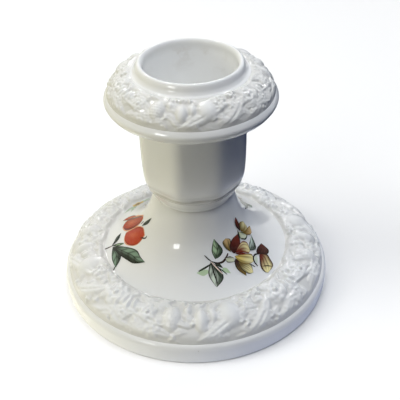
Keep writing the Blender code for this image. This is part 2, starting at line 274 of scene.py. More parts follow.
class Relief:
    """Heights in millimetres over a band, length around and width across, both in millimetres."""

    def __init__(self, length, width, pitch, chance):
        self.length = length
        self.width = width
        self.columns = int(round(length / pitch))
        self.rows = int(round(width / pitch)) + 1
        self.around = np.arange(self.columns) * length / self.columns
        self.across = np.linspace(0.0, width, self.rows)
        self.height = np.zeros((self.rows, self.columns))
        self.chance = chance

    def spread(self, low, high):
        return low + (high - low) * self.chance.random()

    def window(self, s, t, reach, turn):
        """Cells within reach of (s, t), with their coordinates in a frame turned by turn."""
        step = self.length / self.columns
        count = int(reach / step) + 2
        middle = int(round(s / step))
        columns = np.arange(middle - count, middle + count + 1)
        rows = np.nonzero(np.abs(self.across - t) <= reach)[0]
        ds = (columns * step - s)[None, :]
        dt = (self.across[rows] - t)[:, None]
        u = ds * math.cos(turn) + dt * math.sin(turn)
        v = dt * math.cos(turn) - ds * math.sin(turn)
        return np.ix_(rows, columns % self.columns), u, v

    def raise_to(self, cells, height, inside, fillet=0.40):
        """The higher of what is there and the new shape, with a soft crease between them."""
        there = self.height[cells]
        close = np.clip(1.0 - np.abs(there - height) / fillet, 0.0, 1.0)
        joined = np.maximum(there, height) + 0.25 * fillet * close ** 2 * (height > 0.0)
        self.height[cells] = np.where(inside, joined, there)

    def fruit(self, s, t, half_s, half_t, height, drupe=0.0, pitch=1.35, turn=0.0):
        """An oval fruit, smooth or covered with drupelets."""
        cells, u, v = self.window(s, t, max(half_s, half_t) * 1.1, turn)
        inside = 1.0 - (u / half_s) ** 2 - (v / half_t) ** 2
        round_off = np.clip(inside, 0.0, 1.0) ** 0.62
        dome = height * round_off
        if drupe:
            row = np.round(v / (pitch * 0.87))
            column = u / pitch - 0.5 * (row % 2)
            du = column - np.round(column)
            dv = v / (pitch * 0.87) - row
            bead = np.sqrt(np.clip(1.0 - 3.2 * (du ** 2 + dv ** 2), 0.0, 1.0))
            dome = dome + drupe * (2.0 * bead - 1.0) * round_off ** 0.5
        self.raise_to(cells, dome, inside > 0.0)

    def leaf(self, s, t, end_s, end_t, width, height, bend=0.12, vein=1.5):
        """A pointed leaf with a midrib and side veins, from stem (s, t) to tip."""
        run = end_s - s
        rise = end_t - t
        length = math.hypot(run, rise)
        cells, u, v = self.window(s, t, length * 1.05, math.atan2(rise, run))
        along = np.clip(u / length, 0.0, 1.0)
        v = v - bend * length * 4.0 * along * (1.0 - along)
        teeth = 1.0 + 0.10 * np.abs(np.sin(math.pi * u / vein))
        half = 0.5 * width * teeth * np.sin(math.pi * along ** 0.82) ** 0.75
        share = np.abs(v) / np.maximum(half, 0.05)
        inside = (u > 0.0) & (u < length) & (share < 1.0)
        blade = height * np.clip(1.0 - share ** 2.2, 0.0, 1.0) ** 0.6
        blade = blade * (0.70 + 0.30 * np.sin(math.pi * along))
        groove = 0.26 * height * np.exp(-(v / 0.32) ** 2)
        ribs = 0.07 * np.cos(math.tau * (u + 0.9 * np.abs(v)) / vein) * smooth_step(1.0, 0.6, share)
        self.raise_to(cells, blade - groove + ribs * smooth_step(0.08, 0.3, share), inside)

    def flower(self, s, t, radius, petals, height, turn=0.0):
        """An open flower: two rings of cupped petals around a beaded centre."""
        for size, lift, shift in ((1.0, 0.82, 0.0), (0.68, 1.0, math.pi / petals)):
            cells, u, v = self.window(s, t, radius * size * 1.1, turn + shift)
            swing = np.arctan2(v, u) * petals / 2.0
            edge = 0.74 + 0.26 * np.abs(np.cos(swing)) ** 0.6
            share = np.hypot(u, v) / (radius * size * edge)
            crease = 0.22 * height * np.abs(np.sin(swing)) ** 8 * smooth_step(0.1, 0.5, share)
            cup = height * lift * (0.62 + 0.38 * smooth_step(0.3, 0.85, share)) - crease
            cup = cup * np.clip(1.0 - share ** 5, 0.0, 1.0) ** 0.5
            self.raise_to(cells, cup, share < 1.0)
        self.fruit(s, t, 0.27 * radius, 0.27 * radius, 1.08 * height, 0.10, 0.7)

    def berries(self, s, t, count, radius, spread, height):
        """A loose cluster of round berries."""
        for index in range(count):
            way = GOLDEN_ANGLE * index
            reach = spread * math.sqrt((index + 0.3) / count)
            self.fruit(s + reach * math.cos(way), t + reach * math.sin(way),
                       radius, radius, height * self.spread(0.85, 1.1))

    def stem(self, points, width, height):
        """A round stem through a few points."""
        for s, t in flowing_line(points, 12):
            self.fruit(s, t, width, width, height)

    def soften(self, passes):
        """Glaze fills the fine corners."""
        for _ in range(passes):
            h = self.height
            sideways = (np.roll(h, 1, 1) + 2.0 * h + np.roll(h, -1, 1)) / 4.0
            padded = np.pad(sideways, ((1, 1), (0, 0)), mode="edge")
            self.height = (padded[:-2] + 2.0 * padded[1:-1] + padded[2:]) / 4.0


def plant_ground(relief, size, level):
    """Low foliage that covers the whole band behind the fruit."""
    wave = np.sin(relief.around / 2.9)[None, :] * np.sin(relief.across / 1.9)[:, None]
    relief.height += level * (0.75 + 0.15 * wave)
    step = 2.2 * size
    for row in range(int(relief.width / step) + 1):
        for column in range(int(relief.length / (2.0 * step))):
            s = 2.0 * step * (column + 0.5 * (row % 2) + relief.spread(-0.3, 0.3))
            t = step * (row + relief.spread(-0.35, 0.35))
            way = relief.spread(-0.9, 0.9) + (math.pi if relief.chance.random() < 0.4 else 0.0)
            reach = relief.spread(4.4, 6.6) * size
            relief.leaf(s, t, s + reach * math.cos(way), t + reach * math.sin(way),
                        relief.spread(2.4, 3.2) * size, level * relief.spread(1.3, 1.9),
                        relief.spread(-0.15, 0.15), 1.5)
            if relief.chance.random() < 0.45:
                relief.berries(s, t + 1.2 * size, 3, 0.8 * size, 1.0 * size, 1.9 * level)


def plant_bunch(relief, s, size, tall):
    """One repeat of the garland around s: fruit, big slanting leaves, a flower and fillers."""
    w = relief.width
    k = size

    def at(offset, share):
        return s + offset * k, share * w

    def berries(clusters):
        for offset, share, count, radius, spread, high in clusters:
            relief.berries(*at(offset, share), count, radius * k, spread * k, high * tall)

    # leaves lie lowest, so they go in first
    for stem, tip, wide, high, bend in (
            ((0.5, 0.96), (21.5, 0.34), 4.8, 0.74, -0.05), ((14.5, 0.98), (28.0, 0.26), 5.2, 0.70, 0.06),
            ((24.0, 0.98), (36.0, 0.56), 4.6, 0.62, 0.10), ((7.0, 0.62), (-2.5, 0.99), 3.2, 0.62, -0.10),
            ((-8.0, 0.84), (-22.0, 0.94), 4.4, 0.64, 0.12), ((-13.0, 0.22), (-24.0, 0.06), 3.8, 0.58, -0.12),
            ((7.5, 0.20), (18.0, 0.07), 3.4, 0.58, 0.12), ((-24.0, 0.86), (-34.0, 0.70), 4.0, 0.64, 0.12)):
        relief.leaf(*at(*stem), *at(*tip), wide * k, high * tall, bend)
    relief.stem([at(-27.0, 0.50), at(-21.0, 0.56), at(-13.0, 0.66), at(-9.0, 0.58)], 0.55 * k, 0.70 * tall)
    for offset, share, half_s, half_t, high, drupe, pitch in (
            (-8.8, 0.48, 3.4, 0.30, 0.92, 0.22, 1.2), (1.2, 0.50, 2.5, 0.28, 0.95, 0.0, 1.0),
            (5.4, 0.42, 1.8, 0.17, 0.80, 0.0, 1.0), (11.2, 0.44, 4.3, 0.32, 0.98, 0.0, 1.0),
            (-3.6, 0.30, 1.7, 0.13, 0.74, 0.10, 0.9)):
        relief.fruit(*at(offset, share), half_s * k, half_t * w, high * tall, drupe, pitch * k)
    relief.flower(*at(-17.5, 0.46), 3.6 * k, 6, 0.90 * tall, 0.5)
    berries(((-14.2, 0.80, 7, 1.15, 2.3, 0.74), (17.4, 0.30, 7, 1.1, 2.3, 0.78),
             (-28.0, 0.90, 6, 1.05, 2.1, 0.66), (6.0, 0.86, 5, 1.1, 1.9, 0.66)))
    for index in range(4):
        relief.fruit(*at(-23.4 - 2.1 * index, 0.38 + 0.07 * (index % 2)), 1.2 * k, 0.17 * w,
                     0.84 * tall, turn=0.18 * (index - 1.5))
    relief.flower(*at(31.0, 0.36), 5.0 * k, 5, 0.92 * tall, 0.3)
    relief.flower(*at(37.5, 0.62), 3.0 * k, 5, 0.80 * tall, 0.9)
    berries(((24.0, 0.16, 6, 1.0, 1.9, 0.76), (-33.5, 0.26, 6, 1.0, 1.9, 0.74)))
    for index in range(6):
        relief.fruit(*at(-5.0 + 1.9 * index, 0.13 + 0.03 * (index % 2)), 0.95 * k, 0.95 * k, 0.62 * tall)


def band_frame(line, t):
    """Radius, height and outward direction of a band at distances t along its line."""
    radius, rise = (np.interp(t, run_along(line), values) for values in line.T)
    slope_r = np.gradient(radius, t)
    slope_z = np.gradient(rise, t)
    length = np.hypot(slope_r, slope_z)
    return radius, rise, -slope_z / length, slope_r / length


def grow_relief(relief, bunches, size, first, level, tall):
    """Low foliage with a wandering inner edge, then the bunches, then the softening glaze."""
    plant_ground(relief, size, level)
    wander = np.sin(relief.around / 3.1) + np.sin(relief.around / 5.3 + 1.0) + np.sin(relief.around / 1.7)
    start = size * (1.2 + 0.35 * wander)[None, :]
    relief.height *= smooth_step(0.0, 1.0, (relief.across[:, None] - start) / (1.6 * size) + 0.5)
    for index in range(bunches):
        jitter = 0.0 if index == 0 else relief.spread(-0.8, 0.8)
        scale = size * (1.0 if index == 0 else relief.spread(0.96, 1.03))
        plant_bunch(relief, first + jitter + relief.length * index / bunches, scale, tall)
    relief.soften(2)


def make_relief(name, band, bunches, size, first, pitch, level, tall, chance):
    """A garland piece: the band's surface raised by its relief, sinking away at both borders."""
    line = flowing_line(band, 12)
    width = run_along(line)[-1]
    middle = 0.5 * (line[0][0] + line[-1][0])
    relief = Relief(math.tau * middle, width, pitch, chance)
    grow_relief(relief, bunches, size, first, level, tall)
    t = relief.across
    border = smooth_step(0.0, 1.3 * size, t) ** 0.7 * smooth_step(0.2, 3.2 * size, width - t) ** 0.8
    height = relief.height * border[:, None]
    sunk = 0.22 * (1.0 - smooth_step(0.0, 0.5, t) * smooth_step(0.0, 0.5, width - t))
    lift = height - sunk[:, None]
    radius, rise, out, up = band_frame(line, t)
    under = slice(None, None, -8)
    ones = np.ones((1, relief.columns))
    r, z = (np.concatenate([place[:, None] + way[:, None] * lift,
                            (place - 0.6 * way - 0.2)[under, None] * ones])
            for place, way in ((radius, out), (rise, up)))
    angle = relief.around / middle - math.pi / 2.0
    points = np.stack([r * np.cos(angle), r * np.sin(angle), z], axis=-1)
    item = new_mesh_object(name, points, grid_faces(len(points), relief.columns, True, True), SMOOTH_ALL)
    unwrap_loop(item, len(points), relief.columns, 4)
    depth = np.zeros(r.shape, np.float32)
    depth[:len(height)] = height
    layer = item.data.attributes.new("relief_height", "FLOAT", "POINT")
    layer.data.foreach_set("value", depth.reshape(-1))
    return item


# ---- printed sprays

class Spray:
    """A printed spray on the foot's cone: thin shapes laid on the glaze around an anchor.

    Its own coordinates are millimetres along the surface, x towards growing azimuth and y
    up the slope.
    """

    def __init__(self, azimuth, anchor_radius):
        self.azimuth = math.radians(azimuth)
        line = flowing_line(foot_cone_points(), 16)
        self.slant = run_along(line)
        radius, height = line.T
        self.measures = (radius, height, np.gradient(radius, self.slant), np.gradient(height, self.slant))
        self.anchor = np.interp(anchor_radius, radius, self.slant)
        self.patches = []

    def surface(self, x, y, lift):
        """World points of places on the glaze, raised off it by lift."""
        slant = self.anchor - y
        radius, height, slope_r, slope_z = (np.interp(slant, self.slant, line) for line in self.measures)
        angle = self.azimuth + x / radius
        r = neck_ridges(radius, height, angle - math.pi / 2.0) - slope_z * lift
        z = height + slope_r * lift
        return np.stack([r * np.sin(angle), -r * np.cos(angle), z], axis=-1)

    def shape(self, base, left, right, tip, paint, cells=PATCH_CELLS):
        """A patch between two curves that share their base and tip."""
        self.between([base, *left, tip], [base, *right, tip], paint, cells)

    def leaf(self, base, left, right, tip, *tones, cells=PATCH_CELLS):
        self.shape(base, left, right, tip, washed_leaf(*tones), cells)

    def petal(self, base, left, right, tip, *tones, cells=PATCH_CELLS):
        self.shape(base, left, right, tip, silky_petal(*tones), cells)

    def between(self, left, right, paint, cells=PATCH_CELLS):
        """Fills the space between two curves that run from base to tip."""
        along, across = cells
        lift = 0.04 + 0.006 * len(self.patches)
        first = even_points(left, along)[:, None, :]
        last = even_points(right, along)[:, None, :]
        u = np.linspace(0.0, 1.0, along)[:, None] * np.ones((1, across))
        v = np.linspace(-1.0, 1.0, across)[None, :] * np.ones((along, 1))
        share = 0.5 + 0.5 * v[..., None]
        flat = first * (1.0 - share) + last * share
        points = self.surface(flat[..., 0], flat[..., 1], lift)
        self.patches.append((points, np.clip(paint(u, v), 0.0, 1.0)))

    def stroke(self, points, width, tone, other=None):
        """A brush line that swells in its middle and ends thin."""
        line = even_points(points, 26)
        way = np.gradient(line, axis=0)
        side = np.stack([-way[:, 1], way[:, 0]], axis=-1) / np.hypot(way[:, 0], way[:, 1])[:, None]
        swell = 0.5 * width * (0.25 + 0.75 * np.sin(math.pi * np.linspace(0.06, 0.94, 26)) ** 0.7)
        other = tone if other is None else other
        self.between(line - side * swell[:, None], line + side * swell[:, None],
                     lambda u, v: blend(tone, other, u), (26, 4))

    def finish(self, name):
        """One mesh; each patch has its own cell of the unwrapped square."""
        points, faces, colours, places = [], [], [], []
        side = math.ceil(math.sqrt(len(self.patches)))
        count = 0
        for index, (patch, colour) in enumerate(self.patches):
            along, across = patch.shape[:2]
            grid = grid_faces(along, across)
            if facing(patch) < 0.0:
                grid = grid[:, ::-1]
            points.append(patch.reshape(-1, 3))
            faces.append(grid + count)
            colours.append(colour.reshape(-1, 3))
            shares = [np.linspace(0.04, 0.96, number) for number in (along, across)]
            u, v = np.meshgrid(*shares, indexing="ij")
            cell = np.array([index % side, index // side])
            places.append((np.stack([u, v], axis=-1).reshape(-1, 2) + cell) / side)
            count += along * across
        faces = np.concatenate(faces)
        item = new_mesh_object(name, np.concatenate(points), faces, SMOOTH_ALL)
        layer = item.data.color_attributes.new("paint", "FLOAT_COLOR", "POINT")
        colours = np.concatenate(colours)
        with_alpha = np.concatenate([colours, np.ones((len(colours), 1))], axis=1)
        layer.data.foreach_set("color", with_alpha.astype(np.float32).reshape(-1))
        unwrap(item, np.concatenate(places)[faces.reshape(-1)])
        return item


def facing(patch):
    """Above zero where a patch's quads face away from the axis."""
    down = patch[1:, :-1] - patch[:-1, :-1]
    right = patch[:-1, 1:] - patch[:-1, :-1]
    normal = np.cross(down, right).reshape(-1, 3).sum(axis=0)
    return float(normal @ np.array([*patch.reshape(-1, 3).mean(axis=0)[:2], 30.0]))


def even_points(points, count):
    """Points evenly spaced along a smooth curve."""
    line = flowing_line(points, 12)
    steps = run_along(line)
    where = np.linspace(0.0, steps[-1], count)
    return np.stack([np.interp(where, steps, line[:, 0]), np.interp(where, steps, line[:, 1])], axis=-1)


def blend(low, high, share):
    """Colour between two colours; each may be one colour or an array of them."""
    share = np.clip(np.asarray(share), 0.0, 1.0)[..., None]
    return np.array(low) * (1.0 - share) + np.array(high) * share


def near(value, middle, width):
    """1 at a value, falling softly to 0 within a width."""
    return np.exp(-((value - middle) / width) ** 2)


def washed_leaf(shade, wash, ink, dark_side=1.0, veins=4.0):
    """A leaf washed pale on one half and dark on the other, with inked veins and outline."""
    def paint(u, v):
        dark = np.maximum(smooth_step(-0.2, 0.5, v * dark_side), 0.8 * smooth_step(0.45, 0.10, u))
        colour = blend(wash, shade, 0.92 * dark)
        colour = blend(colour, shade, 0.7 * near(u, 0.0, 0.22))
        ribs = near((u * veins - 0.8 * np.abs(v)) % 1.0, 0.5, 0.17) * smooth_step(1.0, 0.6, np.abs(v))
        colour = blend(colour, ink, 0.7 * ribs)
        colour = blend(colour, ink, 0.9 * near(v, 0.0, 0.09) * smooth_step(1.0, 0.75, u))
        return blend(colour, ink, smooth_step(0.74, 0.90, np.abs(v)))
    return paint


def ripe_fruit(deep, body, light, ink):
    """A fruit with fine lengthwise lines, a soft light spot and a darker rim."""
    def paint(u, v):
        lines = 0.5 + 0.5 * np.sin(19.0 * v + 5.0 * u)
        colour = blend(body, deep, 0.7 * lines ** 3)
        colour = blend(colour, light, 0.65 * near(u, 0.45, 0.16) * near(v, -0.15, 0.30))
        colour = blend(colour, deep, 0.9 * smooth_step(0.55, 0.85, np.abs(v)))
        return blend(colour, ink, 0.8 * smooth_step(0.12, 0.0, u) + 0.8 * smooth_step(0.82, 0.96, np.abs(v)))
    return paint


def silky_petal(base, tip, ink, streaks=5.0, turn=0.0):
    """A petal that runs from its base tone to its tip tone, with inked streaks and outline."""
    def paint(u, v):
        colour = blend(base, tip, smooth_step(0.15, 0.75, u + turn * v))
        lines = near((v * streaks * 0.5 + 0.25 * u) % 1.0, 0.5, 0.20) * smooth_step(0.98, 0.45, u)
        colour = blend(colour, ink, 0.75 * lines)
        return blend(colour, ink, smooth_step(0.70, 0.88, np.abs(v)) + 0.8 * smooth_step(0.93, 1.0, u))
    return paint


def flat_tone(tone):
    return lambda u, v: blend(tone, tone, u)


INK = (0.01, 0.011, 0.006)
LEAF_SHADE = (0.03, 0.052, 0.026)
LEAF_GREY = (0.20, 0.30, 0.21)
LEAF_PALE = (0.40, 0.56, 0.33)
MINT = (0.60, 0.72, 0.62)
FRUIT_DEEP = (0.16, 0.014, 0.002)
FRUIT_BODY = (0.46, 0.042, 0.003)
FRUIT_LIGHT = (0.60, 0.13, 0.03)
PEACH = (0.74, 0.33, 0.17)
MAROON = (0.04, 0.007, 0.004)
RED_BROWN = (0.17, 0.022, 0.009)
OLIVE = (0.17, 0.105, 0.018)
TAN = (0.64, 0.43, 0.18)
CREAM = (0.80, 0.72, 0.36)
YELLOW = (0.70, 0.52, 0.12)


def make_fruit_spray():
    """Three orange fruits and dark leaves on one stalk."""
    spray = Spray(-80.0, 25.0)
    fruit = ripe_fruit(FRUIT_DEEP, FRUIT_BODY, FRUIT_LIGHT, MAROON)
    # peach wash under the fruit
    spray.between([(-13.0, -3.0), (-12.4, 0.0), (-9.0, 4.0), (-3.4, 9.0)],
                  [(-9.0, -3.9), (-4.6, -1.4), (-1.2, 4.6), (-1.4, 8.6)], flat_tone(PEACH))
    spray.shape((-3.8, -1.3), [(-2.8, 2.0), (0.0, 6.0), (3.2, 7.5)],
                [(-0.8, -2.5), (3.0, -2.1), (6.8, 1.4)], (6.3, 6.3), flat_tone(PEACH))
    spray.shape((-15.2, -5.8), [(-15.8, -3.6), (-13.5, -0.2)], [(-12.4, -2.2), (-11.4, 0.0)], (-9.3, 3.3),
                fruit)
    spray.shape((-9.6, -3.8), [(-12.2, -3.2), (-12.0, -0.8), (-9.4, 2.4), (-5.0, 7.1)],
                [(-5.4, -1.6), (-3.2, 1.3), (-1.8, 4.6), (-1.2, 7.4)], (-2.4, 8.7), fruit)
    spray.shape((-3.4, -1.3), [(-2.4, 1.6), (-0.6, 4.8), (1.2, 6.4), (3.2, 7.2)],
                [(-0.6, -2.2), (2.6, -1.8), (5.6, 0.0), (6.7, 2.8)], (5.9, 6.2),
                ripe_fruit(FRUIT_BODY, FRUIT_BODY, FRUIT_LIGHT, FRUIT_DEEP))
    spray.stroke([(5.4, 4.4), (7.4, 5.6), (7.3, 6.8)], 0.55, INK)
    spray.stroke([(-0.2, 6.9), (0.3, 8.8)], 0.4, FRUIT_DEEP, INK)
    spray.leaf((1.2, 7.0), [(1.6, 9.6)], [(3.8, 10.2)], (4.4, 13.6), INK, LEAF_SHADE, INK, 1.0, 8.0)
    # stalk and leaves
    spray.stroke([(-1.9, -12.0), (-1.8, -10.2), (-1.4, -8.2)], 0.6, INK, MAROON)
    spray.stroke([(-1.4, -8.2), (-0.7, -5.8), (1.2, -3.0)], 0.6, INK, LEAF_SHADE)
    spray.leaf((-1.4, -8.4), [(-3.3, -7.0), (-5.2, -5.8)], [(-2.0, -6.2), (-3.2, -4.6)], (-5.8, -3.8),
               INK, LEAF_SHADE, INK, 1.0, 6.0)
    spray.leaf((-1.0, -7.6), [(-0.6, -5.4)], [(0.8, -5.6)], (1.6, -2.8), LEAF_SHADE, LEAF_PALE, INK)
    spray.leaf((-0.6, -7.8), [(2.7, -8.8), (6.4, -9.6)], [(3.4, -5.6), (7.2, -6.2)], (10.4, -9.8), INK,
               LEAF_GREY, INK, 1.0, 3.0)
    spray.stroke([(9.6, -9.6), (11.4, -11.4)], 0.4, INK)
    spray.leaf((-0.6, -7.7), [(4.1, -6.6), (9.7, -5.0), (13.4, -4.0)],
               [(1.8, -4.4), (6.1, -1.0), (9.4, 0.2), (12.6, -0.6)], (16.0, -1.2), INK, LEAF_GREY, INK,
               -1.0, 5.0)
    faint = flat_tone((0.66, 0.74, 0.66))
    spray.between([(-20.0, -2.6), (-22.6, -0.6)], [(-19.0, -1.4), (-21.8, 0.4)], faint, (10, 5))
    return spray.finish("fruit_spray")


def make_blossom_spray():
    """A branch with pale leaves, an open blossom, a hanging bud and a small flower above."""
    spray = Spray(42.0, 24.0)
    pale = washed_leaf(LEAF_SHADE, LEAF_PALE, INK, 1.0, 3.0)
    wash = flat_tone((0.46, 0.60, 0.38))
    # leaves at the left
    spray.between([(-18.6, -2.0), (-17.0, -3.2), (-14.6, -2.4)],
                  [(-18.6, -2.0), (-16.2, -1.2), (-14.0, -1.1)], wash, (16, 8))
    spray.shape((-8.9, -1.6), [(-7.6, -2.2)], [(-9.4, -3.0)], (-7.4, -4.4), wash, (14, 8))
    spray.shape((-9.6, 2.0), [(-9.5, 4.4), (-8.7, 6.2)], [(-7.1, 2.7), (-5.3, 4.8)], (-6.6, 9.3), pale)
    spray.leaf((-11.6, 1.4), [(-13.8, -1.1), (-15.2, -3.8)], [(-10.0, -1.4), (-10.8, -5.2)],
               (-15.2, -8.0), LEAF_SHADE, (0.62, 0.70, 0.58), INK, 1.0, 2.0)
    spray.leaf((-10.6, 0.9), [(-9.0, 0.0)], [(-10.4, -0.4)], (-8.8, -1.8), INK, LEAF_SHADE, INK)
    spray.stroke([(-12.0, 0.6), (-14.6, -0.4), (-17.6, -1.5)], 0.6, INK, LEAF_SHADE)
    spray.stroke([(-10.8, -0.6), (-9.6, -2.4), (-8.9, -4.4)], 0.45, INK, LEAF_SHADE)
    spray.stroke([(-11.4, 1.5), (-12.6, -2.0), (-14.0, -6.6)], 0.5, INK)
    spray.stroke([(-11.3, 1.5), (-11.2, -1.6), (-11.6, -5.0)], 0.8, INK, LEAF_SHADE)
    spray.stroke([(-11.5, 1.7), (-11.0, -0.6), (-10.2, -3.8)], 0.5, (0.80, 0.66, 0.56))
    spray.stroke([(-12.5, 4.0), (-11.8, 2.3), (-11.2, 1.3)], 0.5, INK)
    spray.stroke([(-11.2, 1.4), (-9.5, 0.4), (-7.6, 0.4), (-5.8, 1.3), (-4.2, 2.6)], 0.75, INK, MAROON)
    # open blossom
    spray.between([(-6.0, 1.2), (-6.2, -0.4), (-3.6, -1.2)], [(-6.0, 1.2), (-4.2, 1.4), (-3.0, 0.2)],
                  silky_petal((0.56, 0.60, 0.44), (0.66, 0.68, 0.50), INK, 1.0), (16, 10))
    spray.petal((-3.0, 2.6), [(-4.2, 4.6), (-4.2, 7.0)], [(-1.6, 4.8), (-0.8, 6.8)], (-2.4, 7.9), OLIVE,
                TAN, INK, 2.0)
    spray.petal((-2.2, 1.6), [(-2.7, 3.4), (-1.7, 5.4), (0.4, 6.6)], [(0.4, 1.8), (2.4, 3.4), (3.2, 5.0)],
                (3.2, 6.8), MAROON, RED_BROWN, MAROON, 7.0)
    spray.petal((-1.4, 1.5), [(0.6, 2.8), (3.4, 3.6), (5.4, 2.0)], [(0.6, 0.8), (2.0, -0.2), (3.4, -1.2)],
                (4.6, -1.0), RED_BROWN, CREAM, RED_BROWN, 3.0, -0.25)
    spray.petal((-2.8, -0.2), [(-4.1, -1.9), (-4.4, -4.4)], [(-1.6, -1.6), (-1.6, -4.8)], (-3.0, -7.6),
                MAROON, OLIVE, INK, 4.0)
    spray.petal((-2.4, -1.9), [(-3.0, -4.6), (-1.8, -7.2)], [(-0.4, -3.2), (1.4, -5.0)], (0.2, -7.8),
                OLIVE, CREAM, INK, 5.0)
    spray.petal((-2.5, 0.6), [(-2.1, -1.6), (-0.7, -3.6), (1.2, -4.6)],
                [(0.6, 0.0), (3.2, -1.3), (4.4, -2.6)], (3.2, -4.6), YELLOW, CREAM, OLIVE, 2.0)
    spray.petal((-2.0, 1.4), [(0.6, 0.8)], [(-0.2, 0.0)], (2.6, -1.2), MAROON, FRUIT_DEEP, RED_BROWN, 2.0,
                cells=(20, 8))
    spray.stroke([(1.4, -4.8), (2.2, -6.6)], 0.4, INK)
    # hanging bud
    spray.petal((7.6, -4.4), [(6.6, -5.0), (4.4, -7.6), (4.2, -9.8)],
                [(10.6, -6.4), (10.4, -8.6), (9.4, -10.8)], (5.2, -11.2), RED_BROWN, CREAM, MAROON, 4.0,
                0.15)
    spray.stroke([(5.2, -8.2), (7.0, -9.2), (8.6, -10.6)], 0.4, MAROON, INK)
    spray.shape((5.6, -3.6), [(4.2, -4.2)], [(5.4, -5.0)], (3.8, -6.2), flat_tone((0.60, 0.68, 0.56)),
                (14, 8))
    spray.stroke([(8.2, -4.4), (5.4, -3.2), (3.8, -3.9), (3.3, -5.2), (3.4, -7.0)], 0.6, INK)
    spray.petal((7.4, -4.2), [(6.8, -3.0), (8.6, -2.2)], [(10.7, -6.6), (13.0, -6.2)], (11.9, -2.6),
                MAROON, (0.10, 0.018, 0.010), INK, 5.0)
    # small flower above
    spray.leaf((4.6, -0.9), [(5.6, 0.9)], [(8.0, -1.9)], (9.6, 2.4), LEAF_SHADE, MINT, INK, 1.0, 2.0)
    spray.between([(4.0, 7.2), (3.4, 4.8), (4.8, 3.6)], [(4.0, 7.2), (6.9, 5.2), (7.2, 3.6)],
                  silky_petal((0.56, 0.58, 0.36), (0.66, 0.70, 0.52), LEAF_SHADE, 1.0), (18, 12))
    spray.petal((5.7, 5.9), [(8.4, 5.4), (11.6, 4.8)], [(7.0, 4.2), (9.0, 3.0)], (10.6, 2.8), OLIVE, TAN,
                OLIVE, 5.0)
    spray.petal((5.2, 6.6), [(5.4, 8.4), (6.6, 9.5)], [(7.2, 5.3), (9.6, 5.2)], (9.0, 8.4), OLIVE, CREAM,
                OLIVE, 2.0)
    spray.petal((4.9, 6.9), [(3.9, 9.3), (4.0, 11.0)], [(6.0, 8.7), (5.8, 10.4)], (5.3, 12.4), MAROON,
                RED_BROWN, INK, 2.0)
    spray.stroke([(4.0, 7.8), (3.4, 6.4), (2.9, 4.8)], 0.7, INK)
    spray.stroke([(4.0, 4.6), (5.4, 3.4), (7.3, 3.7)], 0.45, INK)
    return spray.finish("blossom_spray")


def make_small_flower():
    """A small yellow flower with a dark centre and pale leaves."""
    spray = Spray(-135.0, 32.0)
    soft = washed_leaf(LEAF_PALE, (0.62, 0.70, 0.56), LEAF_GREY)
    for tip_x, tip_y in ((7.4, 3.4), (8.0, -0.6), (-6.4, 3.8), (-7.0, -0.4)):
        bow = 1.1 if tip_x > 0.0 else -1.1
        spray.shape((0.0, 0.0), [(0.5 * tip_x, 0.5 * tip_y + bow)], [(0.5 * tip_x, 0.5 * tip_y - bow)],
                    (tip_x, tip_y), soft, (20, 10))
    petal = silky_petal(OLIVE, YELLOW, TAN, 2.0)
    for index in range(6):
        way = math.tau * index / 6.0
        tip = (2.9 * math.cos(way), 2.6 * math.sin(way))
        side = (-1.0 * math.sin(way), 1.0 * math.cos(way))
        spray.shape((0.0, 0.0), [(0.6 * tip[0] - side[0], 0.6 * tip[1] - side[1])],
                    [(0.6 * tip[0] + side[0], 0.6 * tip[1] + side[1])], tip, petal, (14, 9))
    spray.shape((-0.9, 0.0), [(0.0, 0.8)], [(0.0, -0.8)], (0.9, 0.0), flat_tone(MAROON), (10, 8))
    return spray.finish("small_flower")


def make_leaf_sprig():
    """Dark leaves and a small bud on a stalk that starts beside the neck."""
    spray = Spray(124.0, 24.0)
    leaf = washed_leaf(INK, LEAF_GREY, INK)
    spray.leaf((-6.6, 9.4), [(-2.0, 5.6)], [(-5.0, 3.0)], (2.0, -2.8), INK, LEAF_SHADE, INK)
    spray.stroke([(-9.0, 7.2), (-3.0, 2.6), (2.0, -0.8), (6.4, -3.2)], 0.8, INK, LEAF_SHADE)
    spray.shape((-8.0, 6.4), [(-4.0, 4.8)], [(-5.0, 2.6)], (-0.4, 0.8), leaf)
    spray.shape((-3.0, 2.4), [(1.6, 2.6)], [(1.0, 0.0)], (5.4, 0.6), leaf)
    spray.shape((-2.0, 1.8), [(-2.6, -1.8)], [(0.8, -1.4)], (0.6, -4.8), leaf)
    spray.shape((2.4, -1.0), [(6.2, -0.4)], [(5.8, -3.0)], (9.6, -2.4), leaf)
    spray.petal((6.0, -3.0), [(6.4, -5.4)], [(8.4, -3.6)], (9.0, -6.2), RED_BROWN, TAN, MAROON, 3.0,
                cells=(18, 12))
    return spray.finish("leaf_sprig")


# ---- materials

